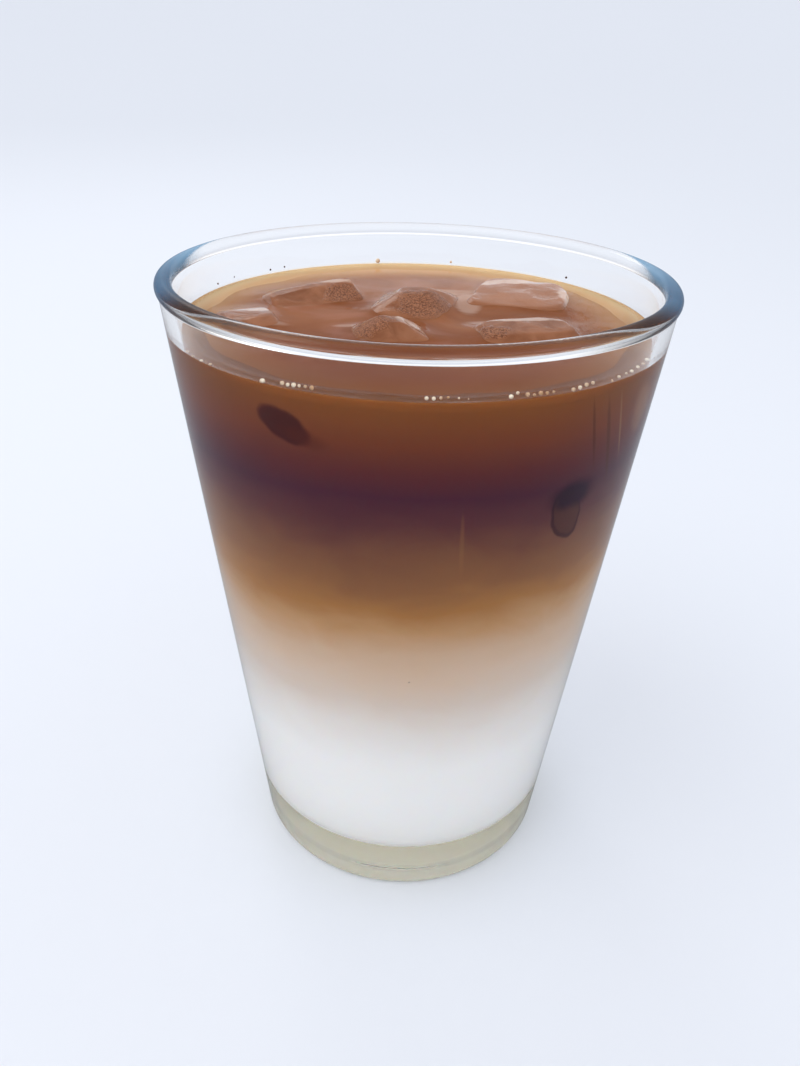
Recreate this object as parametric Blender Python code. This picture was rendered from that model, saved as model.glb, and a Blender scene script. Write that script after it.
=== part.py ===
"""Iced coffee in a tapered glass tumbler, in metres, +Z up, origin at the bottom centre.

The front of the drink faces -Y. The tumbler is turned from one profile. The drink inside it is three
layers, milk below, a tan blend in the middle and coffee on top, and six melted ice blocks float in the
coffee with their crowns above it. Neighbouring pieces keep a small gap.
"""

from dataclasses import dataclass
from math import acos, atan, cos, pi, radians, sin

import bmesh
import bpy
from mathutils import Matrix, Vector

# Driving dimensions of the tumbler
HEIGHT = 0.1190
RIM_RADIUS = 0.0440
BASE_RADIUS = 0.0311
WALL = 0.0022
FLOOR = 0.0105
BEAD_RADIUS = 0.00156
BEAD_PROUD = 0.0003
FLOOR_FILLET = 0.0040
HEEL_RADIUS = 0.0015
RECESS_RADIUS = 0.0235
RECESS_DEPTH = 0.0012

# Driving dimensions of the drink, as heights above the table
MILK_TOP = 0.0620
BLEND_TOP = 0.0900
LEVEL = 0.1104
GAP = 0.0003

# Driving dimensions of the ice
ICE_DRAFT = 0.0165
ICE_WAIST = 0.0020
ICE_FOOT = 0.78
ICE_MELT = 0.0013
ICE_GAP = 0.00045

# Resolution of the turned pieces
TURN_STEPS = 64
ARC_STEPS = 6
BEAD_STEPS = 18

SLOPE = (RIM_RADIUS - BEAD_PROUD - BASE_RADIUS) / HEIGHT
TAPER = atan(SLOPE)


@dataclass(frozen=True)
class IceBlock:
    """One melted ice block: where it floats, how large it is at the waist and how its crown stands up."""

    name: str
    centre: tuple[float, float]
    half: tuple[float, float]
    turn: float
    rise: float
    crown: tuple[float, float]
    lean: tuple[float, float]


ICE = (
    IceBlock("ice_wedge", (-0.0200, 0.0116), (0.0086, 0.0070), 30, 0.0021, (0.86, 0.16), (0.10, 0.02)),
    IceBlock("ice_sliver", (-0.0290, -0.0035), (0.0042, 0.0062), 24, 0.0009, (0.80, 0.50), (0.02, -0.04)),
    IceBlock("ice_peak", (-0.0005, 0.0082), (0.0072, 0.0088), -12, 0.0027, (0.34, 0.26), (0.03, 0.02)),
    IceBlock("ice_broad", (0.0196, 0.0156), (0.0094, 0.0084), -14, 0.0011, (0.88, 0.84), (0.01, 0.07)),
    IceBlock("ice_front", (-0.0042, -0.0098), (0.0062, 0.0050), 14, 0.0024, (0.30, 0.30), (-0.08, 0.03)),
    IceBlock("ice_right", (0.0182, -0.0080), (0.0086, 0.0054), 10, 0.0014, (0.80, 0.66), (0.03, 0.05)),
)


def clear_scene():
    """Removes every object of the open scene."""
    for obj in list(bpy.data.objects):
        bpy.data.objects.remove(obj, do_unlink=True)


def material(name, colour, roughness, transmission=0.0, ior=1.45):
    """A Principled material of one colour."""
    made = bpy.data.materials.new(name)
    made.use_nodes = True
    shader = made.node_tree.nodes["Principled BSDF"]
    shader.inputs["Base Color"].default_value = (*colour, 1.0)
    shader.inputs["Roughness"].default_value = roughness
    shader.inputs["Metallic"].default_value = 0.0
    shader.inputs["Transmission Weight"].default_value = transmission
    shader.inputs["IOR"].default_value = ior
    return made


def outer_radius(z):
    """Radius of the tumbler's outer wall at a height."""
    return BASE_RADIUS + SLOPE * z


def inner_radius(z):
    """Radius of the tumbler's inner wall at a height."""
    return outer_radius(z) - WALL / cos(TAPER)


def drink_radius(z):
    """Radius of the drink at a height: the inner wall less the gap."""
    return inner_radius(z) - GAP


def arc(centre, radius, start, end, steps):
    """Points (r, z) on a circle, from one angle to another, both ends included."""
    turns = [start + (end - start) * i / steps for i in range(steps + 1)]
    return [(centre[0] + radius * cos(a), centre[1] + radius * sin(a)) for a in turns]


def tumbler_profile():
    """The tumbler's half section: up the inside, over the bead, down the outside, under to the axis."""
    fillet_z = FLOOR + FLOOR_FILLET
    fillet_r = inner_radius(fillet_z) - FLOOR_FILLET / cos(TAPER)
    bead_z = HEIGHT - BEAD_RADIUS
    bead_r = RIM_RADIUS - BEAD_RADIUS
    to_outer = (outer_radius(bead_z) - bead_r) * cos(TAPER)
    to_inner = (bead_r - inner_radius(bead_z)) * cos(TAPER)
    bead_start = pi - TAPER + acos(to_inner / BEAD_RADIUS)
    bead_end = -TAPER - acos(to_outer / BEAD_RADIUS)
    heel_r = outer_radius(HEEL_RADIUS) - HEEL_RADIUS / cos(TAPER)
    section = [(0.0, FLOOR)]
    section += arc((fillet_r, fillet_z), FLOOR_FILLET, -pi / 2, -TAPER, ARC_STEPS)
    section += arc((bead_r, bead_z), BEAD_RADIUS, bead_start, bead_end, BEAD_STEPS)
    section += arc((heel_r, HEEL_RADIUS), HEEL_RADIUS, -TAPER, -pi / 2, ARC_STEPS)
    for i in range(ARC_STEPS + 1):
        part = 1 - i / ARC_STEPS
        section.append((RECESS_RADIUS * part, RECESS_DEPTH * (1 - part**2)))
    return section


def layer_profile(top, bottom):
    """A drink layer's half section, flat at both ends."""
    return [(0.0, top), (drink_radius(top), top), (drink_radius(bottom), bottom), (0.0, bottom)]


def milk_profile():
    """The milk's half section, rounded below where the tumbler's floor is."""
    radius = FLOOR_FILLET - GAP
    centre_z = FLOOR + FLOOR_FILLET
    centre_r = inner_radius(centre_z) - FLOOR_FILLET / cos(TAPER)
    section = [(0.0, MILK_TOP - GAP), (drink_radius(MILK_TOP - GAP), MILK_TOP - GAP)]
    section += arc((centre_r, centre_z), radius, -TAPER, -pi / 2, ARC_STEPS)
    section.append((0.0, FLOOR + GAP))
    return section


def turned(name, section, finish):
    """Turns a half section about Z with a Screw modifier."""
    mesh = bpy.data.meshes.new(name)
    points = [(r, 0.0, z) for r, z in section]
    edges = [(i, i + 1) for i in range(len(points) - 1)]
    mesh.from_pydata(points, edges, [])
    mesh.materials.append(finish)
    obj = bpy.data.objects.new(name, mesh)
    bpy.context.scene.collection.objects.link(obj)
    screw = obj.modifiers.new("turn", "SCREW")
    screw.angle = 2 * pi
    screw.steps = TURN_STEPS
    screw.render_steps = TURN_STEPS
    screw.use_merge_vertices = True
    screw.merge_threshold = 0.00001
    screw.use_smooth_shade = True
    return obj


def ice_mesh(block, grow):
    """A block of three squared rings, foot, waist and leaning crown, with melted edges.

    grow widens the block on every side, for the hollow that it floats in.
    """
    rings = (
        (LEVEL - ICE_DRAFT - grow, (ICE_FOOT, ICE_FOOT), (0.0, 0.0)),
        (LEVEL - ICE_WAIST, (1.0, 1.0), (0.0, 0.0)),
        (LEVEL + block.rise + grow, block.crown, block.lean),
    )
    place = Matrix.Translation((*block.centre, 0.0)) @ Matrix.Rotation(radians(block.turn), 4, "Z")
    shape = bmesh.new()
    loops = []
    for z, scale, lean in rings:
        loop = []
        for side_x, side_y in ((-1, -1), (1, -1), (1, 1), (-1, 1)):
            x = side_x * (block.half[0] * scale[0] + grow)
            y = side_y * (block.half[1] * scale[1] + grow)
            loop.append(shape.verts.new(place @ Vector((x, y, z + lean[0] * x + lean[1] * y))))
        loops.append(loop)
    shape.faces.new(reversed(loops[0]))
    shape.faces.new(loops[-1])
    for low, high in zip(loops, loops[1:]):
        for i in range(4):
            j = (i + 1) % 4
            shape.faces.new((low[i], low[j], high[j], high[i]))
    bmesh.ops.bevel(
        shape,
        geom=list(shape.edges),
        offset=ICE_MELT,
        segments=3,
        profile=0.5,
        affect="EDGES",
        clamp_overlap=True,
    )
    bmesh.ops.recalc_face_normals(shape, faces=list(shape.faces))
    mesh = bpy.data.meshes.new(block.name)
    shape.to_mesh(mesh)
    shape.free()
    return mesh


def ice_block(block, finish):
    """The floating block itself."""
    mesh = ice_mesh(block, 0.0)
    mesh.materials.append(finish)
    mesh.shade_smooth()
    mesh.set_sharp_from_angle(angle=radians(40))
    obj = bpy.data.objects.new(block.name, mesh)
    bpy.context.scene.collection.objects.link(obj)
    return obj


def hollow_for(block, drink):
    """Cuts the hollow that a block floats in out of the coffee."""
    cutter = bpy.data.objects.new(f"hollow_{block.name}", ice_mesh(block, ICE_GAP))
    bpy.context.scene.collection.objects.link(cutter)
    cutter.hide_render = True
    cutter.display_type = "WIRE"
    cut = drink.modifiers.new(f"cut_{block.name}", "BOOLEAN")
    cut.operation = "DIFFERENCE"
    cut.solver = "EXACT"
    cut.object = cutter


def main():
    """Builds the tumbler, the three layers of the drink and the ice."""
    clear_scene()
    glass = material("clear_glass", (0.93, 0.96, 0.95), 0.02, transmission=1.0, ior=1.5)
    coffee = material("coffee", (0.17, 0.055, 0.022), 0.12)
    blend = material("coffee_with_milk", (0.42, 0.22, 0.11), 0.2)
    milk = material("milk", (0.84, 0.84, 0.83), 0.25)
    ice = material("ice", (0.55, 0.36, 0.25), 0.08, transmission=0.6, ior=1.31)
    turned("tumbler", tumbler_profile(), glass)
    turned("milk_layer", milk_profile(), milk)
    turned("blend_layer", layer_profile(BLEND_TOP - GAP, MILK_TOP), blend)
    drink = turned("coffee_layer", layer_profile(LEVEL, BLEND_TOP), coffee)
    for block in ICE:
        ice_block(block, ice)
        hollow_for(block, drink)


main()
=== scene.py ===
"""Iced coffee in a tapered glass tumbler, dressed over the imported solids.

Everything is in metres, +Z up, with the origin under the middle of the tumbler's foot. The front faces
-Y. The new pieces are surfaces worked out on grids; the finishes are procedural.
"""

import logging
from dataclasses import dataclass
from enum import Enum
from typing import Any

import bpy
import numpy as np
from mathutils import Matrix, Vector

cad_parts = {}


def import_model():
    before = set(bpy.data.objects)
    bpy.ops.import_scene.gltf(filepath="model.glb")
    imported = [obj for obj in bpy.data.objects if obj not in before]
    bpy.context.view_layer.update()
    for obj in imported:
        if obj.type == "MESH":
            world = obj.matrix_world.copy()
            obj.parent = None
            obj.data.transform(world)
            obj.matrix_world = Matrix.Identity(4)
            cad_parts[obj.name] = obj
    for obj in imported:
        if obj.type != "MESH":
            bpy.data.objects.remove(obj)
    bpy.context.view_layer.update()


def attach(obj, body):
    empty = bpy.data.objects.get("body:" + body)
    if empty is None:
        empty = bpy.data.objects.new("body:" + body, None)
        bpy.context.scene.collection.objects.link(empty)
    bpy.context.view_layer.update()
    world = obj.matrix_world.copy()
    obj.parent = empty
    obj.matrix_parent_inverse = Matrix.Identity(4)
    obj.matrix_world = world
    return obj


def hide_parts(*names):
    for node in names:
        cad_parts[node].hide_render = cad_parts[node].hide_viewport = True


LOG = logging.getLogger("iced_coffee")
MM = 0.001
TAU = 2 * np.pi
Colour = tuple[float, float, float]


class Slot(Enum):
    """The record's material slots."""

    GLASS = "clear_glass"
    COFFEE = "coffee"
    ICE = "ice"


def linear(red: int, green: int, blue: int) -> Colour:
    """Turns a display colour of 0 to 255 into scene-linear light.

    Args:
        red: Display red.
        green: Display green.
        blue: Display blue.

    Returns:
        The three linear values, each 0 to 1.
    """
    shown = np.array((red, green, blue)) / 255
    light = np.where(shown <= 0.04045, shown / 12.92, ((shown + 0.055) / 1.055) ** 2.4)
    return tuple(float(value) for value in light)


class Socket:
    """An output socket with the arithmetic of shader maths, so that formulas read as Python."""

    def __init__(self, graph: "Graph", socket: bpy.types.NodeSocket) -> None:
        """Wraps one output socket of a graph's node."""
        self.graph = graph
        self.socket = socket

    def math(self, operation: str, *values: "Socket | float") -> "Socket":
        """Adds a Math node.

        Args:
            operation: The Math node's operation.
            *values: Its inputs, in order.

        Returns:
            The node's output.
        """
        sockets = dict(enumerate(values))
        return self.graph.add("ShaderNodeMath", {"operation": operation}, sockets)

    def __add__(self, other: "Socket | float") -> "Socket":
        """This plus the other."""
        return self.math("ADD", self, other)

    def __sub__(self, other: "Socket | float") -> "Socket":
        """This less the other."""
        return self.math("SUBTRACT", self, other)

    def __rsub__(self, other: float) -> "Socket":
        """The other less this."""
        return self.math("SUBTRACT", other, self)

    def __mul__(self, other: "Socket | float") -> "Socket":
        """This times the other."""
        return self.math("MULTIPLY", self, other)

    def __truediv__(self, other: "Socket | float") -> "Socket":
        """This over the other."""
        return self.math("DIVIDE", self, other)

    def __pow__(self, other: float) -> "Socket":
        """This to a power."""
        return self.math("POWER", self, other)

    __radd__ = __add__
    __rmul__ = __mul__

    def step(self, low: float, high: float) -> "Socket":
        """Rises smoothly from 0 at low to 1 at high.

        Args:
            low: Where the rise begins.
            high: Where it ends; below low, the step falls instead.

        Returns:
            The smooth step.
        """
        first, last, start, end = (low, high, 0.0, 1.0) if low < high else (high, low, 1.0, 0.0)
        settings = {"interpolation_type": "SMOOTHSTEP"}
        sockets = {"Value": self, "From Min": first, "From Max": last, "To Min": start, "To Max": end}
        return self.graph.add("ShaderNodeMapRange", settings, sockets, "Result")


class Graph:
    """A node tree that is built by calls, each of which returns an output socket."""

    def __init__(self, tree: bpy.types.NodeTree) -> None:
        """Empties the tree."""
        self.tree = tree
        tree.nodes.clear()

    def add(
        self,
        kind: str,
        settings: dict[str, Any] | None = None,
        sockets: dict[str | int, Any] | None = None,
        output: str | int = 0,
    ) -> Socket:
        """Adds a node: its settings first, then the values or links of its sockets.

        Args:
            kind: The node's type.
            settings: Its properties; "stops" gives a ramp's (position, colour) pairs.
            sockets: Its inputs by name or number, each a value or a Socket.
            output: Which output to return.

        Returns:
            That output.
        """
        node = self.tree.nodes.new(kind)
        for name, value in (settings or {}).items():
            if name == "stops":
                self.fill_ramp(node.color_ramp, value)
            else:
                setattr(node, name, value)
        for name, value in (sockets or {}).items():
            if isinstance(value, Socket):
                self.tree.links.new(value.socket, node.inputs[name])
            elif isinstance(value, tuple) and len(value) == 3 and node.inputs[name].type == "RGBA":
                node.inputs[name].default_value = (*value, 1.0)
            else:
                node.inputs[name].default_value = value
        return Socket(self, node.outputs[output]) if len(node.outputs) else Socket(self, None)

    @staticmethod
    def fill_ramp(ramp: bpy.types.ColorRamp, stops: list[tuple[float, Colour]]) -> None:
        """Sets a colour ramp's stops.

        Args:
            ramp: The ramp.
            stops: Its (position, colour) pairs, in order.
        """
        while len(ramp.elements) < len(stops):
            ramp.elements.new(1.0)
        for element, (position, colour) in zip(ramp.elements, stops):
            element.position = position
            element.color = (*colour, 1.0)

    def blend(self, factor: Socket | float, first: Any, second: Any) -> Socket:
        """Mixes two colours.

        Args:
            factor: 0 for the first colour, 1 for the second.
            first: A colour or a colour socket.
            second: A colour or a colour socket.

        Returns:
            The mixed colour.
        """
        factor_in, first_in, second_in, colour_out = 0, 6, 7, 2
        sockets = {factor_in: factor, first_in: first, second_in: second}
        return self.add("ShaderNodeMix", {"data_type": "RGBA"}, sockets, colour_out)

    def place(self) -> tuple[Socket, Socket, Socket, Socket]:
        """Object coordinates.

        Returns:
            The whole vector, then its x, y and z.
        """
        point = self.add("ShaderNodeTexCoord", output="Object")
        parts = [self.add("ShaderNodeSeparateXYZ", None, {0: point}, axis) for axis in "XYZ"]
        return point, *parts

    def noise(self, point: Socket, scale: float, detail: float = 3.0, warp: float = 0.0) -> Socket:
        """Noise of 0 to 1 over a point.

        Args:
            point: Where it is read, in metres.
            scale: Bumps per metre.
            detail: Octaves.
            warp: Distortion.

        Returns:
            The noise value.
        """
        sockets = {"Vector": point, "Scale": scale, "Detail": detail, "Distortion": warp}
        return self.add("ShaderNodeTexNoise", {"noise_dimensions": "3D"}, sockets)

    def stretch(self, point: Socket, scale: Colour) -> Socket:
        """The point with each axis multiplied."""
        return self.add("ShaderNodeVectorMath", {"operation": "MULTIPLY"}, {0: point, 1: scale})

    def spots(self, x: Socket, y: Socket, spots: tuple[tuple[float, ...], ...], ragged: Any = 0.0) -> Socket:
        """Soft ellipses in plan, joined by their greatest value.

        Args:
            x: Object x.
            y: Object y.
            spots: Each spot's middle x, middle y, half width and half depth, in millimetres.
            ragged: Added to the distance, where 1 is a spot's edge.

        Returns:
            1 inside the spots, 0 outside.
        """
        outside, inside = 1.15, 0.7
        most = None
        for middle_x, middle_y, wide, deep in spots:
            across = (x / MM - middle_x) / wide
            along = (y / MM - middle_y) / deep
            spot = ((across * across + along * along) ** 0.5 + ragged).step(outside, inside)
            most = spot if most is None else most.math("MAXIMUM", most, spot)
        return most

    def mirror(self) -> Socket:
        """1 where the set is seen in a mirror reflection, 0 where it is seen directly or through glass."""
        glossy = self.add("ShaderNodeLightPath", output="Is Glossy Ray")
        through = self.add("ShaderNodeLightPath", output="Is Transmission Ray")
        return glossy * (1.0 - through)

    def bump(self, height: Socket, distance: float) -> Socket:
        """A Bump node's normal for a height of 0 to 1 that stands for a distance in metres."""
        sockets = {"Height": height, "Distance": distance, "Strength": 1.0}
        return self.add("ShaderNodeBump", None, sockets, "Normal")

    def principled(self, **sockets: Any) -> Socket:
        """A Principled shader; an underscore in a name stands for a space."""
        named = {name.replace("_", " "): value for name, value in sockets.items()}
        return self.add("ShaderNodeBsdfPrincipled", None, named)

    def finish(self, surface: Socket, volume: Socket | None = None) -> None:
        """Wires the material output.

        Args:
            surface: The surface shader.
            volume: The volume shader, if there is one.
        """
        sockets = {"Surface": surface} | ({"Volume": volume} if volume else {})
        self.add("ShaderNodeOutputMaterial", None, sockets)


def new_material(name: str) -> tuple[bpy.types.Material, Graph]:
    """An empty node material and its graph."""
    material = bpy.data.materials.new(name)
    material.use_nodes = True
    return material, Graph(material.node_tree)


@dataclass(frozen=True)
class GlassFinish:
    """Clear soda-lime glass: a faint olive tint that shows only in the thick base."""

    tint: Colour = (0.80, 0.73, 0.44)
    density: float = 12.0
    ior: float = 1.5
    gloss: Colour = (0.3, 0.3, 0.3)

    def material(self) -> bpy.types.Material:
        """Makes the glass.

        Returns:
            The material.
        """
        material, graph = new_material("tumbler_glass")
        surface = graph.principled(
            Base_Color=(1.0, 1.0, 1.0),
            Roughness=0.0,
            IOR=self.ior,
            Specular_Tint=self.gloss,
            Transmission_Weight=1.0,
        )
        sockets = {"Color": self.tint, "Density": self.density}
        graph.finish(surface, graph.add("ShaderNodeVolumeAbsorption", None, sockets))
        return material


@dataclass(frozen=True)
class PaintedBeadReflection:
    """Painted reflection: the blue that the bead mirrors at the left and the right, with painted dark shade
    in front, where the bead shows the coffee through it, and clear behind.

    The film's alpha rises towards the sides; behind, the film narrows to the bead's crest.
    """

    # painted reflection: deep and pale blue that the bead mirrors at its sides; painted shade: the dark tone
    # for its front
    deep: Colour = linear(44, 90, 126)
    pale: Colour = linear(122, 162, 192)
    painted_front_shade: Colour = linear(50, 40, 40)
    radius: float = 42.58 * MM
    bead: float = 1.43 * MM
    crest: tuple[float, float] = (117.9 * MM, 118.7 * MM)

    def material(self) -> bpy.types.Material:
        """Makes the painted reflection film.

        Returns:
            The material.
        """
        material, graph = new_material("bead_painted_reflection")
        point, x, y, height = graph.place()
        radius = (x * x + y * y) ** 0.5
        side = x.math("ABSOLUTE", x) / radius
        across = (radius - self.radius) / self.bead
        inner = (across - y.step(0.0, 26.0 * MM) * 1.3 + 1.2).step(0.0, 0.3)
        narrow = inner * (1.0 - y.step(2.0 * MM, 16.0 * MM) * across.step(0.2, 0.6))
        drift = graph.noise(graph.stretch(point, (1.0, 1.0, 3.0)), 120.0, 2.0)
        # painted shade towards the front, painted blue reflection at the sides, thinning behind
        front = y.step(-15.0 * MM, -28.0 * MM)
        blue = graph.blend(y.step(-16.0 * MM, 12.0 * MM) * 0.8 + drift * 0.2, self.deep, self.pale)
        crest = height.step(*self.crest)
        ahead = side.step(0.42, 0.84) * (crest * 0.5 + 0.42)
        full = side.step(0.50, 0.86) * y.step(38.0 * MM, 12.0 * MM) * narrow * (drift * 0.1 + 0.88)
        surface = graph.principled(
            Base_Color=graph.blend(front, blue, self.painted_front_shade),
            Roughness=drift * 0.1 + 0.2,
            Specular_IOR_Level=0.15,
            Alpha=full + (ahead - full) * front,
        )
        graph.finish(surface)
        return material


@dataclass(frozen=True)
class SidePatch:
    """A soft patch on the drink's side: sunk ice, a streak, and in one case painted light at the edge. Turn
    in radians, sizes in millimetres.
    """

    turn: float
    height: float
    half: tuple[float, float]
    tilt: float
    tone: Colour
    strength: float
    softness: float = 0.5


@dataclass(frozen=True)
class DrinkFinish:
    """The drink's colour by height, from the milk at the bottom to the coffee at the top.

    The stops' heights are in millimetres. A smudge leans by `upright`, per radian of its turn.
    """

    upright: float = 0.43
    wall_radius: float = 40.0
    top: float = 112.0 * MM
    stops: tuple[tuple[float, Colour], ...] = (
        (10.0, linear(253, 253, 254)),
        (34.0, linear(251, 251, 252)),
        (45.0, linear(240, 237, 235)),
        (52.0, linear(230, 220, 212)),
        (58.0, linear(229, 212, 196)),
        (64.0, linear(224, 202, 179)),
        (69.0, linear(213, 177, 137)),
        (74.0, linear(192, 144, 90)),
        (79.0, linear(168, 122, 86)),
        (85.0, linear(150, 104, 82)),
        (90.0, linear(120, 72, 76)),
        (95.0, linear(98, 53, 72)),
        (99.0, linear(118, 61, 64)),
        (104.0, linear(141, 79, 56)),
        (110.0, linear(149, 92, 50)),
    )
    # painted reflection: pale spots round the ice where the climbing coffee mirrors the sky
    reflection_spots: tuple[tuple[float, ...], ...] = (
        (9.4, 11.0, 2.6, 7.0),
        (5.0, 18.6, 7.0, 2.4),
        (16.0, -1.8, 7.0, 1.5),
        (-28.0, -6.5, 6.0, 2.0),
        (-12.0, -6.0, 3.0, 1.2),
    )
    side_patches: tuple[SidePatch, ...] = (
        SidePatch(-0.475, 105.0, (4.0, 2.2), 0.55, linear(72, 28, 36), 0.85, 0.35),
        SidePatch(-0.40, 103.6, (4.2, 1.6), 0.50, linear(104, 50, 40), 0.45, 0.9),
        SidePatch(0.65, 89.2, (2.7, 4.0), 0.0, linear(66, 30, 42), 0.80, 0.15),
        SidePatch(0.65, 89.7, (2.3, 3.7), 0.0, linear(108, 66, 60), 0.75, 0.15),
        SidePatch(0.665, 92.8, (5.0, 2.8), -0.2, linear(50, 20, 50), 0.90, 0.8),
        SidePatch(0.195, 86.0, (0.45, 6.0), -0.35, linear(176, 124, 86), 0.40, 0.8),
        SidePatch(0.70, 103.0, (0.35, 6.5), 0.1, linear(92, 48, 30), 0.5, 0.8),
        SidePatch(0.80, 101.0, (0.5, 8.0), -0.1, linear(96, 52, 34), 0.5, 0.8),
        SidePatch(0.86, 103.0, (0.3, 6.0), 0.0, linear(190, 146, 100), 0.35, 0.8),
        # painted light: a pale patch at the right edge, for light coming through the thin drink there
        SidePatch(1.02, 104.0, (3.4, 4.5), -0.3, linear(196, 150, 112), 0.45, 1.0),
    )

    def colour(self, graph: Graph, point: Socket, height: Socket) -> Socket:
        """The colour at a point: a ramp by height, whose layers wave a little.

        Args:
            graph: The material's graph.
            point: Object coordinates.
            height: Their z.

        Returns:
            The colour.
        """
        broad = graph.noise(point, 28.0, 2.0) - 0.5
        cloud = graph.noise(graph.stretch(point, (1.0, 1.0, 1.8)), 75.0, 4.0, 0.6) - 0.5
        calm = height.step(101.0 * MM, 84.0 * MM)
        waved = height + (broad * (9.0 * MM) + cloud * (6.0 * MM)) * (calm * 0.8 + 0.2)
        stops = [(z * MM / self.top, colour) for z, colour in self.stops]
        return graph.add("ShaderNodeValToRGB", {"stops": stops}, {0: waved / self.top})

    def side(self) -> bpy.types.Material:
        """Makes the side, which wets the glass and so has almost no gloss of its own.

        Returns:
            The material.
        """
        material, graph = new_material("drink_side")
        point, x, y, height = graph.place()
        turn = x.math("ARCTAN2", x, y * -1.0)
        colour = self.colour(graph, point, height)
        ragged = (graph.noise(point, 300.0, 3.0) - 0.5) * 0.5
        for side_patch in self.side_patches:
            rise = height / MM - side_patch.height
            aside = (turn - side_patch.turn) * self.wall_radius + rise * (side_patch.turn * self.upright)
            across = aside / side_patch.half[0]
            slid = rise / side_patch.half[1] + across * side_patch.tilt
            away = (across**2.0 + slid**2.0) ** 0.5 + ragged
            share = away.step(1.25, 1.25 - side_patch.softness) * side_patch.strength
            colour = graph.blend(share, colour, side_patch.tone)
        surface = graph.principled(
            Base_Color=colour,
            Roughness=0.6,
            IOR=1.33,
            Specular_IOR_Level=0.0,
            Subsurface_Weight=0.35,
            Subsurface_Radius=(1.0, 0.7, 0.5),
            Subsurface_Scale=4.0 * MM,
        )
        graph.finish(surface)
        return material

    def surface(self) -> bpy.types.Material:
        """Makes the open surface: wet and glossy, with painted reflections round the ice, a paler tone at the
        wall that is painted lighter still towards the back, and painted shade towards the front.

        Returns:
            The material.
        """
        material, graph = new_material("drink_surface")
        point, x, y, _ = graph.place()
        radius = (x * x + y * y) ** 0.5
        drift = graph.noise(graph.stretch(point, (1.0, 1.0, 0.2)), 55.0, 3.0, 0.8)
        veil = graph.noise(graph.stretch(point, (0.7, 1.0, 0.2)), 85.0, 3.0, 1.2)
        deep = graph.blend(drift.step(0.35, 0.7), linear(122, 68, 34), linear(144, 88, 52))
        cloudy = graph.blend(veil.step(0.48, 0.72) * 0.55, deep, linear(152, 102, 84))
        # paler at the wall where the coffee thins, and painted backlight: paler again towards the back, for
        # light coming through the wall
        edge = graph.blend(y.step(16.0 * MM, 40.0 * MM), linear(158, 108, 50), linear(206, 158, 106))
        colour = graph.blend(radius.step(28.0 * MM, 39.5 * MM), cloudy, edge)
        # painted reflection of the sky on the coffee round the ice
        sheen = graph.spots(x, y, self.reflection_spots, (veil - 0.5) * 1.6) * 0.3
        colour = graph.blend(sheen, colour, linear(206, 180, 164))
        # painted shade: darker towards the front, where the surface mirrors less of the sky
        front = y.step(2.0 * MM, -34.0 * MM)
        surface = graph.principled(
            Base_Color=graph.blend(front * 0.75, colour, linear(100, 44, 14)),
            Roughness=drift * 0.05 + 0.03,
            IOR=1.33,
            Specular_IOR_Level=0.08,
            Subsurface_Weight=0.3,
            Subsurface_Radius=(1.0, 0.6, 0.4),
            Subsurface_Scale=3.0 * MM,
            Normal=graph.bump(graph.noise(point, 160.0, 2.0), 0.00012),
        )
        graph.finish(surface)
        return material


@dataclass(frozen=True)
class MeniscusFinish:
    """Thin coffee: brown where it leaves the level, paler higher up and clear at its edge.

    Each tone is a pair, for the front and for the back, where light comes through the wall.
    """

    low: float = 110.4 * MM
    high: float = 111.8 * MM
    thick: tuple[Colour, Colour] = (linear(116, 64, 30), linear(188, 142, 90))
    thin: tuple[Colour, Colour] = (linear(150, 104, 72), linear(240, 222, 176))

    def material(self) -> bpy.types.Material:
        """Makes the thin coffee.

        Returns:
            The material.
        """
        material, graph = new_material("thin_coffee")
        point, _, y, height = graph.place()
        drift = graph.noise(point, 90.0, 2.0) - 0.5
        share = (height + drift * (0.25 * MM) - self.low) / (self.high - self.low)
        lit = y.step(-24.0 * MM, 12.0 * MM)
        thick, thin = graph.blend(lit, *self.thick), graph.blend(lit, *self.thin)
        surface = graph.principled(
            Base_Color=graph.blend(share.step(0.0, 0.65), thick, thin),
            Roughness=drift * 0.04 + 0.12,
            IOR=1.33,
            Specular_IOR_Level=0.2,
            Alpha=share.step(0.8, 0.0) * (lit * 0.6 + 0.4),
        )
        graph.finish(surface)
        return material


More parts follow.
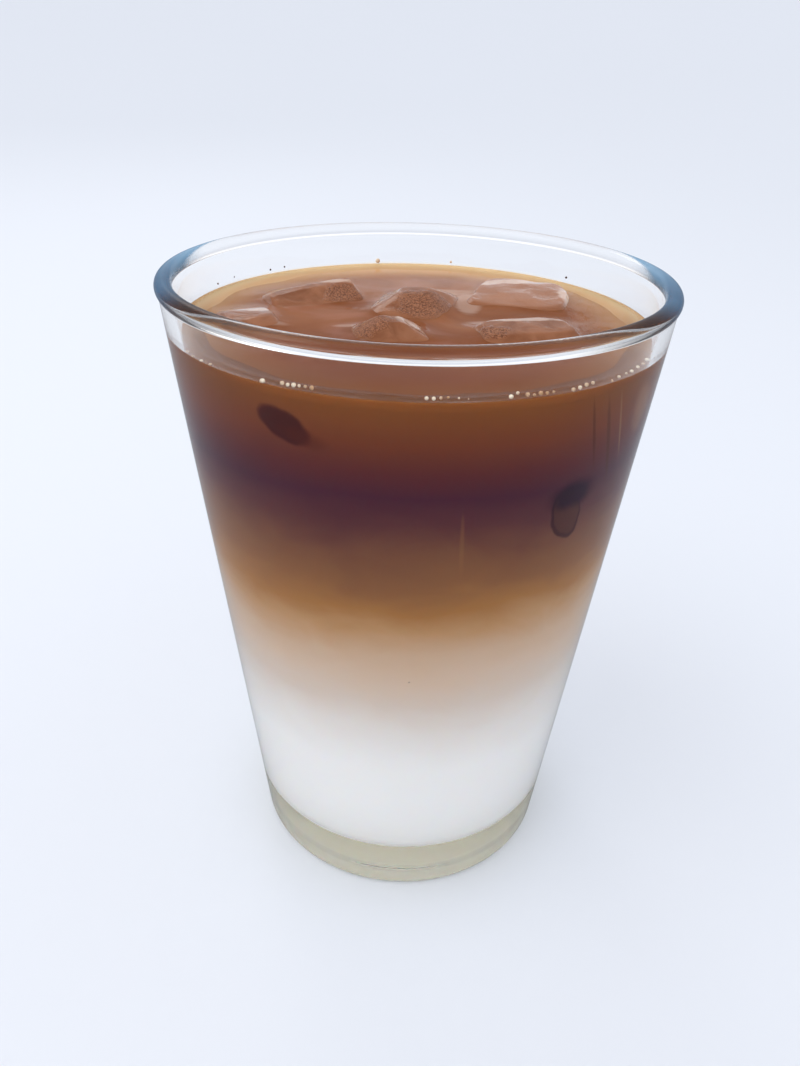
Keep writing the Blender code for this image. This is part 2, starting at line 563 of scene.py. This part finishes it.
@dataclass(frozen=True)
class IceFinish:
    """Melting ice under a film of coffee: milky brown, with rough broken facets and painted highlights along
    the crests.

    Each spot has its middle x and y and its half width and depth, in millimetres.
    """

    facets: tuple[tuple[float, ...], ...] = (
        (-13.0, 9.9, 4.2, 3.2),
        (2.2, 3.4, 6.4, 5.0),
        (-7.8, -11.2, 3.6, 3.0),
        (12.0, -10.8, 3.4, 2.6),
    )
    calm: tuple[tuple[float, ...], ...] = ((19.6, 15.6, 12.0, 10.0),)
    # painted highlights: pale glints along the blocks' upper edges
    pale: tuple[tuple[float, ...], ...] = (
        (16.5, 21.6, 10.5, 1.5),
        (28.0, 14.0, 1.3, 4.0),
        (-19.5, 14.6, 7.5, 1.2),
        (-28.5, -0.5, 4.0, 2.0),
        (17.5, -4.6, 8.0, 1.3),
        (-3.4, 14.2, 5.2, 1.4),
        (-1.6, -8.2, 2.0, 2.6),
    )

    def material(self) -> bpy.types.Material:
        """Makes the ice.

        Returns:
            The material.
        """
        material, graph = new_material("melting_ice")
        point, x, y, height = graph.place()
        ragged = (graph.noise(point, 420.0, 3.0) - 0.5) * 1.1
        near = graph.spots(x, y, self.facets, ragged)
        # painted highlights, kept off the broken facets
        pale = graph.spots(x, y, self.pale, ragged) * (1.0 - near)
        grain = graph.noise(point, 3600.0, 4.0)
        melt = graph.noise(point, 230.0, 3.0, 0.5)
        brown = graph.blend(melt.step(0.3, 0.7), linear(124, 76, 50), linear(150, 100, 72))
        calm = graph.spots(x, y, self.calm, (melt - 0.5) * 0.5)
        smooth = graph.blend(calm * 0.7, brown, linear(168, 122, 98))
        with_painted_highlights = graph.blend(pale * 0.6, smooth, linear(214, 186, 168))
        broken = graph.blend(grain.step(0.36, 0.64), linear(98, 54, 34), linear(164, 110, 78))
        tone = graph.blend(near, with_painted_highlights, broken)
        wet = height.step(110.5 * MM, 111.3 * MM)
        surface = graph.principled(
            Base_Color=graph.blend(wet, linear(144, 92, 62), tone),
            Roughness=near * 0.4 + melt * 0.1,
            IOR=1.31,
            Specular_IOR_Level=0.3,
            Coat_Weight=pale * 0.5,
            Coat_Roughness=0.03,
            Subsurface_Weight=0.4,
            Subsurface_Radius=(1.0, 0.7, 0.55),
            Subsurface_Scale=2.0 * MM,
            Normal=graph.bump(melt * 0.7 + grain * near * 0.5, 0.0005),
        )
        graph.finish(surface)
        return material


@dataclass(frozen=True)
class FleckFinish:
    """A small bubble or fleck in one tone that varies a little from one to the next."""

    name: str
    dark: Colour
    light: Colour
    roughness: float = 0.2

    def material(self) -> bpy.types.Material:
        """Makes the finish.

        Returns:
            The material.
        """
        material, graph = new_material(self.name)
        point, *_ = graph.place()
        shade = graph.noise(point, 400.0, 1.0)
        surface = graph.principled(
            Base_Color=graph.blend(shade.step(0.3, 0.7), self.dark, self.light),
            Roughness=shade * 0.1 + self.roughness,
            IOR=1.33,
        )
        graph.finish(surface)
        return material


@dataclass(frozen=True)
class StudioFinish:
    """The pale floor, painted darker for mirror rays only, so that reflections show it dimmer, as if dark
    cards stood round a set.
    """

    colour: Colour = (0.745, 0.773, 0.825)
    mirrored: float = 0.45

    def material(self) -> bpy.types.Material:
        """Makes the floor's paint.

        Returns:
            The material.
        """
        material, graph = new_material("studio_floor")
        point, *_ = graph.place()
        drift = graph.noise(point, 2.0, 2.0)
        pale = tuple(value * 0.985 for value in self.colour)
        dark = tuple(value * self.mirrored for value in self.colour)
        # painted reflection: the floor is painted darker where it is seen in a mirror
        mirror = graph.mirror()
        colour = graph.blend(mirror, graph.blend(drift, pale, self.colour), dark)
        surface = graph.principled(Base_Color=colour, Roughness=0.6, Specular_IOR_Level=0.1)
        graph.finish(surface)
        return material


def sheet(name: str, rows: np.ndarray, top: Any = None, end: Any = None) -> bpy.types.Mesh:
    """Makes a mesh of a grid that closes round its columns.

    Each cell of the grid is one quad. A pole is one point that a fan of triangles joins to the first or
    last row. Rows that run from the middle of the top outwards and down have faces that point outwards.

    Args:
        name: The mesh's name.
        rows: Points, rows by columns by 3.
        top: The pole before the first row, or None.
        end: The pole after the last row, or None.

    Returns:
        The mesh, shaded smooth.
    """
    count, width, _ = rows.shape
    points = rows.reshape(-1, 3)
    column = np.arange(width)
    following = (column + 1) % width
    start = np.arange(count - 1)[:, None] * width
    quads = np.stack(
        [start + column, start + width + column, start + width + following, start + following], axis=-1
    ).reshape(-1, 4)
    fans = []
    if top is not None:
        fans.append(np.stack([np.full(width, len(points)), column, following], axis=-1))
        points = np.vstack([points, top])
    if end is not None:
        last = (count - 1) * width
        fans.append(np.stack([last + column, np.full(width, len(points)), last + following], axis=-1))
        points = np.vstack([points, end])
    triangles = np.concatenate(fans) if fans else np.empty((0, 3), int)
    return polygons_mesh(name, points, quads, triangles)


def polygons_mesh(name: str, points: np.ndarray, quads: np.ndarray, triangles: np.ndarray) -> bpy.types.Mesh:
    """Puts points, quads and triangles into a smooth mesh as whole arrays.

    Args:
        name: The mesh's name.
        points: Points, n by 3.
        quads: Indices, n by 4.
        triangles: Indices, n by 3.

    Returns:
        The mesh.
    """
    mesh = bpy.data.meshes.new(name)
    corners = np.concatenate([quads.reshape(-1), triangles.reshape(-1)]).astype(np.int32)
    sizes = np.concatenate([np.full(len(quads), 4), np.full(len(triangles), 3)])
    starts = np.concatenate([[0], np.cumsum(sizes)[:-1]]).astype(np.int32)
    mesh.vertices.add(len(points))
    mesh.vertices.foreach_set("co", points.astype(np.float32).reshape(-1))
    mesh.loops.add(len(corners))
    mesh.loops.foreach_set("vertex_index", corners)
    mesh.polygons.add(len(sizes))
    mesh.polygons.foreach_set("loop_start", starts)
    mesh.polygons.foreach_set("use_smooth", np.ones(len(sizes), bool))
    mesh.update(calc_edges=True)
    mesh.validate()
    return mesh


def piece(name: str, mesh: bpy.types.Mesh, *finishes: bpy.types.Material) -> bpy.types.Object:
    """Links a mesh as an object at the origin, with its materials."""
    for finish in finishes:
        mesh.materials.append(finish)
    made = bpy.data.objects.new(name, mesh)
    bpy.context.scene.collection.objects.link(made)
    return made


def arc(centre: tuple[float, float], radius: float, start: float, end: float, steps: int) -> np.ndarray:
    """Points (r, z) on a circle.

    Args:
        centre: The circle's centre.
        radius: Its radius.
        start: The first angle, in radians.
        end: The last angle.
        steps: How many steps lie between them.

    Returns:
        The points, both ends included.
    """
    turn = np.linspace(start, end, steps + 1)
    return np.stack([centre[0] + radius * np.cos(turn), centre[1] + radius * np.sin(turn)], axis=-1)


def between(low: tuple[float, float], high: tuple[float, float], steps: int) -> np.ndarray:
    """Points (r, z) on a straight line, without its two ends."""
    share = np.linspace(0, 1, steps + 2)[1:-1, None]
    return np.array(low) * (1 - share) + np.array(high) * share


def turned(profile: np.ndarray, columns: int) -> np.ndarray:
    """Carries a half section (r, z) round the z axis.

    Args:
        profile: The points of the section.
        columns: How many columns go round.

    Returns:
        Grid rows for sheet().
    """
    around = np.linspace(0, TAU, columns, endpoint=False)
    radius, height = profile[:, :1], profile[:, 1:]
    return np.stack(
        [radius * np.cos(around), radius * np.sin(around), height + 0 * around], axis=-1
    )


@dataclass
class Tumbler:
    """The glass: a straight taper with a thick base, a rolled bead for a rim and a shallow recess below."""

    height: float = 119.0 * MM
    rim_radius: float = 44.0 * MM
    base_radius: float = 31.1 * MM
    wall: float = 2.2 * MM
    floor: float = 10.5 * MM
    bead: float = 1.42 * MM
    bead_proud: float = 0.2 * MM
    neck: float = 0.45 * MM
    fillet: float = 4.0 * MM
    heel: float = 1.5 * MM
    recess_radius: float = 23.5 * MM
    recess_depth: float = 1.2 * MM
    columns: int = 288

    @property
    def slope(self) -> float:
        """How fast the wall widens with height."""
        return (self.rim_radius - self.bead_proud - self.base_radius) / self.height

    @property
    def taper(self) -> float:
        """The wall's angle from upright."""
        return float(np.arctan(self.slope))

    def outer(self, z: Any) -> Any:
        """Outer radius at a height."""
        return self.base_radius + self.slope * z

    def inner(self, z: Any) -> Any:
        """Inner radius at a height."""
        return self.outer(z) - self.wall / np.cos(self.taper)

    def fillet_centre(self) -> tuple[float, float]:
        """Centre (r, z) of the round where the wall meets the floor."""
        z = self.floor + self.fillet
        return self.inner(z) - self.fillet / np.cos(self.taper), z

    def profile(self) -> np.ndarray:
        """The half section: along the floor, up the inside, over the bead and down to the recess.

        Returns:
            Points (r, z), without the two on the axis.
        """
        lean = np.cos(self.taper)
        bead_z = self.height - self.bead
        bead_r = self.rim_radius - self.bead
        reach = self.bead + self.neck
        inward, outward = np.pi - self.taper, -self.taper
        turn_in = np.arccos(((bead_r - self.inner(bead_z)) * lean + self.neck) / reach)
        turn_out = np.arccos(((self.outer(bead_z) - bead_r) * lean + self.neck) / reach)
        start, end = inward + turn_in, outward - turn_out
        hub_in = (bead_r + reach * np.cos(start), bead_z + reach * np.sin(start))
        hub_out = (bead_r + reach * np.cos(end), bead_z + reach * np.sin(end))
        corner = arc(self.fillet_centre(), self.fillet, -np.pi / 2, -self.taper, 14)
        neck_in = arc(hub_in, self.neck, outward, start - np.pi, 14)[:-1]
        bead = arc((bead_r, bead_z), self.bead, start, end, 44)
        neck_out = arc(hub_out, self.neck, end + np.pi, inward, 14)[1:]
        heel_r = self.outer(self.heel) - self.heel / lean
        heel = arc((heel_r, self.heel), self.heel, -self.taper, -np.pi / 2, 12)
        share = np.linspace(1, 0, 40)[:-1]
        dome = 0.45 * (1 - share**2) + 0.55 * np.clip((1 - share) / 0.09, 0, 1) ** 1.5
        recess = np.stack([self.recess_radius * share, self.recess_depth * dome], axis=-1)
        return np.concatenate(
            [
                between((0.0, self.floor), tuple(corner[0]), 12),
                corner,
                between(tuple(corner[-1]), tuple(neck_in[0]), 40),
                neck_in,
                bead,
                neck_out,
                between(tuple(neck_out[-1]), tuple(heel[0]), 40),
                heel,
                recess,
            ]
        )

    def build(self, finish: GlassFinish) -> bpy.types.Object:
        """Turns the glass and dresses it.

        Args:
            finish: The glass.

        Returns:
            The piece, which stands for the frame's tumbler.
        """
        rows = turned(self.profile(), self.columns)
        mesh = sheet("tumbler_glass", rows, (0, 0, self.floor), (0, 0, self.recess_depth))
        made = piece("tumbler_glass", mesh, finish.material())
        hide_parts("tumbler")
        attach(made, "root")
        return made

    def tint(self, finish: PaintedBeadReflection) -> bpy.types.Object:
        """A film on the bead's upper side that carries its painted reflection and painted dark front.

        Args:
            finish: The painted bead reflection.

        Returns:
            The piece.
        """
        middle = (self.rim_radius - self.bead, self.height - self.bead)
        section = arc(middle, self.bead + 0.01 * MM, np.radians(205), np.radians(-35), 30)
        made = piece("bead_painted_reflection", sheet("bead_painted_reflection", turned(section, self.columns)), finish.material())
        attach(made, "root")
        return made


@dataclass(frozen=True)
class IceBlock:
    """One melted block: where it floats, its half sizes at the waist and how its crown stands up."""

    name: str
    centre: tuple[float, float]
    half: tuple[float, float]
    turn: float
    rise: float
    crown: tuple[float, float]
    lean: tuple[float, float]

    def local(self, x: Any, y: Any) -> tuple[Any, Any]:
        """A point in the block's own directions, in half sizes: 1 is the waist's side."""
        turn = np.radians(self.turn)
        dx, dy = x - self.centre[0], y - self.centre[1]
        along = (dx * np.cos(turn) + dy * np.sin(turn)) / self.half[0]
        across = (dy * np.cos(turn) - dx * np.sin(turn)) / self.half[1]
        return along, across


@dataclass
class Ice:
    """The blocks that break the surface."""

    level: float = 110.4 * MM
    draft: float = 16.5 * MM
    waist: float = 2.0 * MM
    foot: float = 0.78
    swell: float = 0.5 * MM
    skirt: float = 0.3 * MM
    bulge: float = 0.5 * MM
    melt: float = 0.35 * MM
    square: float = 4.2
    rounding: int = 3
    uneven: float = 0.035
    waves: float = 260.0
    steps: int = 132
    columns: int = 160
    blocks: tuple[IceBlock, ...] = (
        IceBlock("ice_wedge", (-0.0200, 0.0116), (0.0086, 0.0070), 30, 0.0021, (0.86, 0.16), (0.10, 0.02)),
        IceBlock("ice_sliver", (-0.0290, -0.0035), (0.0042, 0.0062), 24, 0.0009, (0.80, 0.50), (0.02, -0.04)),
        IceBlock("ice_peak", (-0.0005, 0.0082), (0.0072, 0.0088), -12, 0.0027, (0.34, 0.26), (0.03, 0.02)),
        IceBlock("ice_broad", (0.0196, 0.0156), (0.0094, 0.0084), -14, 0.0011, (0.88, 0.84), (0.01, 0.07)),
        IceBlock("ice_front", (-0.0042, -0.0098), (0.0062, 0.0050), 14, 0.0024, (0.30, 0.30), (-0.08, 0.03)),
        IceBlock("ice_right", (0.0182, -0.0080), (0.0086, 0.0054), 10, 0.0014, (0.80, 0.66), (0.03, 0.05)),
    )

    def rows(self, block: IceBlock, seed: int) -> np.ndarray:
        """One block's grid: squared rings from the crown's middle out, down to the foot and in again.

        A ring's point is the power 2/n of the cosine and sine. The block's sizes, height and lean follow
        the way down by straight runs between stations, which a running mean rounds off. Slow waves melt
        it, and two slower ones make its outline uneven.

        Args:
            block: The block.
            seed: The seed of its waves.

        Returns:
            Grid rows, poles left out.
        """
        way = np.linspace(0, 1, self.steps)
        stations = (0.0, 0.26, 0.42, 0.50, 0.86, 0.90, 1.0)
        crown_x, crown_y = block.crown
        foot, top, bottom = self.foot, block.rise, -self.draft
        down = (top, top, self.skirt, -self.waist, bottom + 0.0006, bottom, bottom)
        curves = np.stack(
            [
                np.interp(way, stations, (0, crown_x, 0.95, 1.0, foot, foot * 0.93, 0)),
                np.interp(way, stations, (0, crown_y, 0.95, 1.0, foot, foot * 0.93, 0)),
                np.interp(way, stations, down),
                np.interp(way, stations, (1, 1, 0.2, 0, 0, 0, 0)),
            ]
        )
        width = self.rounding
        kernel = np.hanning(2 * width + 3)[1:-1]
        padded = np.pad(curves, ((0, 0), (width, width)), "reflect", reflect_type="odd")
        curves = np.stack([np.convolve(line, kernel / kernel.sum(), "valid") for line in padded])
        size_x, size_y, deep, tilt = curves[:, 1:-1, None]
        deep = deep + self.bulge * min(block.crown) * tilt * (1 - size_x**2)
        draw = np.random.default_rng(seed)
        around = np.linspace(0, TAU, self.columns, endpoint=False)[None, :]
        uneven = 1 + self.uneven * np.sin(2 * around + draw.uniform(0, TAU))
        uneven += self.uneven * np.sin(3 * around + draw.uniform(0, TAU))
        power = 2 / self.square
        ring_x = np.sign(np.cos(around)) * np.abs(np.cos(around)) ** power * uneven
        ring_y = np.sign(np.sin(around)) * np.abs(np.sin(around)) ** power * uneven
        x = ring_x * size_x * (block.half[0] + self.swell)
        y = ring_y * size_y * (block.half[1] + self.swell)
        z = self.level + deep + tilt * (block.lean[0] * x + block.lean[1] * y)
        wave = np.zeros_like(x)
        for strength in (1.0, 1.0, 0.8, 0.6, 0.5, 0.4, 0.3):
            direction, phase = draw.normal(size=3) * self.waves / strength, draw.uniform(0, TAU)
            way_along = x * direction[0] + y * direction[1] + z * direction[2] + phase
            wave += strength * np.sin(way_along) / 4
        fade = np.minimum(size_x, size_y) / max(block.half)
        push = 1 + wave * self.melt * fade * max(block.half) / np.maximum(np.hypot(x, y), 1 * MM)
        turn = np.radians(block.turn)
        px = block.centre[0] + (x * np.cos(turn) - y * np.sin(turn)) * push
        py = block.centre[1] + (x * np.sin(turn) + y * np.cos(turn)) * push
        return np.stack([px, py, z + wave * self.melt * 0.7 * tilt], axis=-1)

    def build(self, finish: IceFinish) -> list[bpy.types.Object]:
        """Makes each block as a closed sheet over its solid.

        Args:
            finish: The ice.

        Returns:
            The pieces.
        """
        material = finish.material()
        made = []
        for number, block in enumerate(self.blocks):
            rows = self.rows(block, number + 11)
            mesh = sheet(f"{block.name}_melted", rows, rows[0].mean(0), rows[-1].mean(0))
            made.append(piece(f"{block.name}_melted", mesh, material))
            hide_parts(block.name)
            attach(made[-1], "root")
        return made


@dataclass
class Drink:
    """Milk, blend and coffee as one body that reaches just into the glass, and the coffee's thin rim."""

    tumbler: Tumbler
    ice: Ice
    level: float = 110.4 * MM
    reach: float = 0.15 * MM
    climb: float = 1.4 * MM
    climb_length: float = 1.6 * MM
    rim_width: float = 5.0 * MM
    cling: float = 0.45 * MM
    cling_length: float = 1.4 * MM
    ripple: float = 0.1 * MM
    ripple_radius: float = 34.0 * MM
    columns: int = 288

    def surface(self, x: np.ndarray, y: np.ndarray) -> np.ndarray:
        """Height of the open surface: level, rippled, and raised against each block and the wall.

        A place's distance from a block is (|a|^n + |b|^n)^(1/n), where 1 is the side of the block. The
        coffee climbs there and falls off as exp(-distance / length).

        Args:
            x: Places.
            y: Places.

        Returns:
            Heights.
        """
        radius = np.hypot(x, y)
        edge = 1 - np.clip((radius - self.ripple_radius) / (5 * MM), 0, 1)
        z = self.level + edge * self.ripple * (np.sin(x * 410 + y * 130) + np.sin(y * 370 - x * 90)) / 2
        for block in self.ice.blocks:
            along, across = block.local(x, y)
            power = self.ice.square
            near = (np.abs(along) ** power + np.abs(across) ** power) ** (1 / power)
            away = np.clip(near - 0.9, 0, None) * min(block.half)
            z += self.cling * np.exp(-away / self.cling_length)
        return z + self.cling * np.exp((radius - self.tumbler.inner(self.level)) / self.cling_length)

    def body(self) -> bpy.types.Mesh:
        """The body's closed grid: open surface, side, round corner and floor.

        Returns:
            The mesh, whose first material slot is the side and whose second is the open surface.
        """
        glass = self.tumbler
        wall = glass.inner(self.level) + self.reach
        around = np.linspace(0, TAU, self.columns, endpoint=False)
        radii = np.linspace(0, 1, 130)[1:, None] ** 0.85 * wall
        x, y = radii * np.cos(around), radii * np.sin(around)
        surface = np.stack([x, y, self.surface(x, y)], axis=-1)
        surface[-1, :, 2] = self.level + self.cling
        fillet = glass.fillet + self.reach
        corner = arc(glass.fillet_centre(), fillet, -glass.taper, -np.pi / 2, 14)
        floor_z = glass.floor - self.reach
        section = np.concatenate(
            [
                between((wall, self.level + self.cling), tuple(corner[0]), 60),
                corner,
                between(tuple(corner[-1]), (0.0, floor_z), 16),
            ]
        )
        rows = np.concatenate([surface, turned(section, self.columns)])
        mesh = sheet("drink_body", rows, (0, 0, float(self.surface(0.0, 0.0))), (0, 0, floor_z))
        tops = (len(radii) - 1) * self.columns
        index = np.zeros(len(mesh.polygons), np.int32)
        fan = (len(rows) - 1) * self.columns
        index[np.r_[0:tops, fan : fan + self.columns]] = 1
        mesh.polygons.foreach_set("material_index", index)
        return mesh

    def rim(self) -> bpy.types.Mesh:
        """The thin coffee that climbs the wall; its height falls off as exp(-distance / length).

        Returns:
            The ring's mesh, an open sheet that dips just under the surface at its inner edge.
        """
        glass = self.tumbler
        away = np.linspace(1, 0, 48) ** 1.5 * self.rim_width
        height = self.level + self.climb * np.exp(-away / self.climb_length)
        height -= 0.12 * MM * (away / self.rim_width) ** 2
        section = np.stack([glass.inner(height) - away + self.reach * 0.3, height], axis=-1)
        return sheet("coffee_rim", turned(section, self.columns))

    def build(self, finish: DrinkFinish, thin: MeniscusFinish) -> list[bpy.types.Object]:
        """Makes the body and its thin rim.

        Args:
            finish: The drink's colours.
            thin: The thin coffee.

        Returns:
            The two pieces.
        """
        body = piece("drink_body", self.body(), finish.side(), finish.surface())
        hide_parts("milk_layer", "blend_layer", "coffee_layer")
        rim = piece("coffee_rim", self.rim(), thin.material())
        for made in (body, rim):
            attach(made, "root")
        return [body, rim]


@dataclass(frozen=True)
class Cluster:
    """Specks in a row on the wall: turns from the front in degrees, heights and radii in millimetres."""

    turns: tuple[float, float]
    heights: tuple[float, float]
    count: int
    radius: float

    @classmethod
    def one(cls, turn: float, height: float, radius: float) -> "Cluster":
        """A single speck."""
        return cls((turn, turn), (height, height), 1, radius)


@dataclass
class Specks:
    """Small round things along the wall: bubbles at the coffee's edge and dark specks."""

    tumbler: Tumbler
    steps: int = 10
    bubbles: tuple[Cluster, ...] = (
        Cluster((-26.8, -20.4), (111.5, 111.5), 6, 0.34),
        Cluster((1.6, 5.6), (111.5, 111.5), 4, 0.34),
        Cluster((7.6, 9.4), (111.5, 111.5), 2, 0.14),
        Cluster((17.8, 19.0), (111.4, 111.7), 2, 0.32),
        Cluster((21.2, 26.8), (111.4, 111.4), 5, 0.30),
        Cluster((31.6, 36.4), (111.2, 111.6), 4, 0.32),
        Cluster((42.0, 60.0), (111.2, 112.4), 9, 0.24),
        Cluster((-57.0, -46.5), (110.8, 111.0), 4, 0.24),
        Cluster((-31.6, -31.2), (111.1, 111.1), 1, 0.36),
        Cluster.one(-168.0, 111.6, 0.45),
        Cluster.one(169.5, 111.6, 0.30),
    )
    dark: tuple[Cluster, ...] = (
        Cluster.one(-111.5, 111.6, 0.24),
        Cluster.one(-119.0, 111.9, 0.24),
        Cluster.one(-133.0, 111.7, 0.26),
        Cluster.one(-138.0, 111.8, 0.20),
        Cluster.one(132.0, 111.9, 0.22),
        Cluster.one(0.7, 58.6, 0.20),
        Cluster.one(-3.3, 61.3, 0.15),
        Cluster.one(32.6, 59.8, 0.17),
        Cluster.one(-26.3, 57.6, 0.13),
    )
    scattered: int = 150

    def ball(self, name: str, centres: np.ndarray, radii: np.ndarray) -> bpy.types.Mesh:
        """One mesh of many balls.

        Each ball is a grid of latitudes and turns, times its radius, plus its centre; all at once.

        Args:
            name: The mesh's name.
            centres: Points, n by 3.
            radii: Radii, n.

        Returns:
            The mesh.
        """
        rise = np.linspace(0, np.pi, self.steps // 2 + 2)
        around = np.linspace(0, TAU, self.steps, endpoint=False)
        flat = np.sin(rise)[:, None]
        unit = np.stack(
            [flat * np.cos(around), flat * np.sin(around), np.cos(rise)[:, None] + 0 * around], axis=-1
        )
        points = centres[:, None, None, :] + radii[:, None, None, None] * unit
        column = np.arange(self.steps)
        following = (column + 1) % self.steps
        start = np.arange(len(rise) - 1)[:, None] * self.steps
        cell = np.stack(
            [start + column, start + self.steps + column, start + self.steps + following, start + following],
            axis=-1,
        ).reshape(-1, 4)
        first = np.arange(len(centres))[:, None, None] * unit.shape[0] * self.steps
        quads = (first + cell).reshape(-1, 4)
        return polygons_mesh(name, points.reshape(-1, 3), quads, np.empty((0, 3), int))

    def spread(self, clusters: tuple[Cluster, ...], draw: Any) -> tuple[np.ndarray, ...]:
        """Turns, heights and radii of all the members of some clusters, in radians and metres."""
        turns = [np.radians(np.linspace(*c.turns, c.count)) for c in clusters]
        heights = [(np.linspace(*c.heights, c.count) + draw.normal(0, 0.08, c.count)) * MM for c in clusters]
        radii = [c.radius * MM * draw.uniform(0.55, 1.1, c.count) for c in clusters]
        return np.concatenate(turns), np.concatenate(heights), np.concatenate(radii)

    def centres(self, turn: np.ndarray, height: np.ndarray, inset: Any) -> np.ndarray:
        """Points at an inset from the glass's inner face."""
        radius = self.tumbler.inner(height) - inset
        return np.stack([radius * np.sin(turn), -radius * np.cos(turn), height], axis=-1)

    def build(self) -> list[bpy.types.Object]:
        """Makes the bubbles and the specks.

        Returns:
            The two pieces.
        """
        draw = np.random.default_rng(5)
        turn, height, radius = self.spread(self.bubbles, draw)
        bubbles = self.ball("bubbles", self.centres(turn, height, radius * 0.8), radius)
        turn, height, radius = self.spread(self.dark, draw)
        turn = np.concatenate([turn, draw.uniform(-np.pi, np.pi, self.scattered)])
        height = np.concatenate([height, draw.triangular(40, 60, 74, self.scattered) * MM])
        radius = np.concatenate([radius, draw.uniform(0.04, 0.10, self.scattered) * MM])
        specks = self.ball("coffee_specks", self.centres(turn, height, radius * 0.2), radius)
        pearl = FleckFinish("pearly_foam", linear(196, 154, 116), linear(250, 236, 212), 0.04)
        grounds = FleckFinish("dark_grounds", linear(70, 46, 34), linear(110, 84, 66), 0.5)
        made = [
            piece("bubbles", bubbles, pearl.material()),
            piece("coffee_specks", specks, grounds.material()),
        ]
        for item in made:
            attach(item, "root")
        return made


@dataclass(frozen=True)
class Lamp:
    """A round area light: its name, place, width in metres and power in watts."""

    name: str
    place: tuple[float, float, float]
    size: float
    power: float


@dataclass
class Studio:
    """Pale floor that rises into a low rim far away, the camera, a large soft panel at the upper left and
    a smaller window behind.
    """

    focal_pixels: float = 850.0
    frame_pixels: float = 1066.0
    sensor: float = 36.0
    eye: tuple[float, float, float] = (-1.85 * MM, -148.5 * MM, 152.3 * MM)
    pitch: float = 29.96
    roll: float = 1.71
    floor_radius: float = 2.4
    floor_gap: float = 0.06 * MM
    sky: Colour = (1.04, 1.06, 1.11)
    mirrored: float = 0.5
    lamps: tuple[Lamp, ...] = (
        Lamp("panel", (-0.5, -0.3, 1.0), 0.9, 2.5),
        Lamp("window", (-0.3, 0.75, 0.62), 0.35, 0.6),
    )

    def camera(self) -> None:
        """Places the camera, looking down by the pitch and rolled a little."""
        pitch, roll = np.radians(self.pitch), np.radians(self.roll)
        ahead = Vector((0, np.cos(pitch), -np.sin(pitch)))
        right = Vector((1, 0, 0))
        up = right.cross(ahead)
        across = right * np.cos(roll) + up * np.sin(roll)
        above = up * np.cos(roll) - right * np.sin(roll)
        data = bpy.data.cameras.new("camera")
        data.lens = self.focal_pixels * self.sensor / self.frame_pixels
        data.sensor_width = self.sensor
        data.clip_start = 5 * MM
        camera = bpy.data.objects.new("camera", data)
        turn = Matrix((across, above, -ahead)).transposed().to_4x4()
        camera.matrix_world = Matrix.Translation(self.eye) @ turn
        bpy.context.scene.collection.objects.link(camera)
        bpy.context.scene.camera = camera

    def floor(self, finish: StudioFinish) -> bpy.types.Object:
        """A disc that is flat near the drink and curves up smoothly towards its rim.

        Args:
            finish: The floor's paint.

        Returns:
            The stage object.
        """
        radii = np.linspace(0, 1, 80)[1:] ** 1.5 * self.floor_radius
        lift = np.clip((radii - 0.6) / (self.floor_radius - 0.6), 0, 1)
        profile = np.stack([radii, 0.45 * lift**2 - self.floor_gap], axis=-1)
        mesh = sheet("floor", turned(profile, 96), (0, 0, -self.floor_gap))
        made = piece("floor", mesh, finish.material())
        return made

    @staticmethod
    def hang(lamp: Lamp) -> None:
        """Hangs a lamp that faces the drink.

        Args:
            lamp: The lamp.
        """
        data = bpy.data.lights.new(lamp.name, "AREA")
        data.shape = "DISK"
        data.size = lamp.size
        data.energy = lamp.power
        data.color = (1.0, 0.98, 0.95)
        light = bpy.data.objects.new(lamp.name, data)
        light.location = lamp.place
        aim = Vector((0, 0, 0.06)) - light.location
        light.rotation_euler = aim.to_track_quat("-Z", "Y").to_euler()
        bpy.context.scene.collection.objects.link(light)

    def light(self) -> None:
        """A pale sky all round, which mirrors show darker, and the lamps."""
        world = bpy.data.worlds.new("studio")
        bpy.context.scene.world = world
        world.use_nodes = True
        graph = Graph(world.node_tree)
        dark = tuple(value * self.mirrored for value in self.sky)
        # painted reflection: the sky is painted darker where it is seen in a mirror
        mirror = graph.mirror()
        sky = graph.blend(mirror, self.sky, dark)
        background = graph.add("ShaderNodeBackground", None, {"Color": sky, "Strength": 1.0})
        graph.add("ShaderNodeOutputWorld", None, {"Surface": background})
        for lamp in self.lamps:
            self.hang(lamp)

    def build(self, finish: StudioFinish) -> None:
        """Sets camera, floor, light and plain display colours."""
        self.camera()
        self.floor(finish)
        self.light()
        scene = bpy.context.scene
        scene.view_settings.view_transform = "Standard"
        scene.view_settings.look = "None"
        scene.cycles.blur_glossy = 0.0
        scene.cycles.max_bounces = 24
        scene.cycles.diffuse_bounces = 12
        scene.cycles.transmission_bounces = 20
        scene.cycles.glossy_bounces = 8


def corners(bounds: Any) -> list[list[float]]:
    """A box's two corners as plain lists of numbers."""
    return [[float(value) for value in corner] for corner in bounds]


def main() -> None:
    """Builds the pieces in order."""
    logging.basicConfig(level=logging.INFO, format="%(message)s")
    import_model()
    Studio().build(StudioFinish())
    tumbler, ice = Tumbler(), Ice()
    made = [tumbler.build(GlassFinish()), tumbler.tint(PaintedBeadReflection())]
    made += Drink(tumbler, ice).build(DrinkFinish(), MeniscusFinish())
    made += ice.build(IceFinish())
    made += Specks(tumbler).build()
    for item in made:
        LOG.info("%s: %d faces", item.name, len(item.data.polygons))


if __name__ == "__main__":
    main()
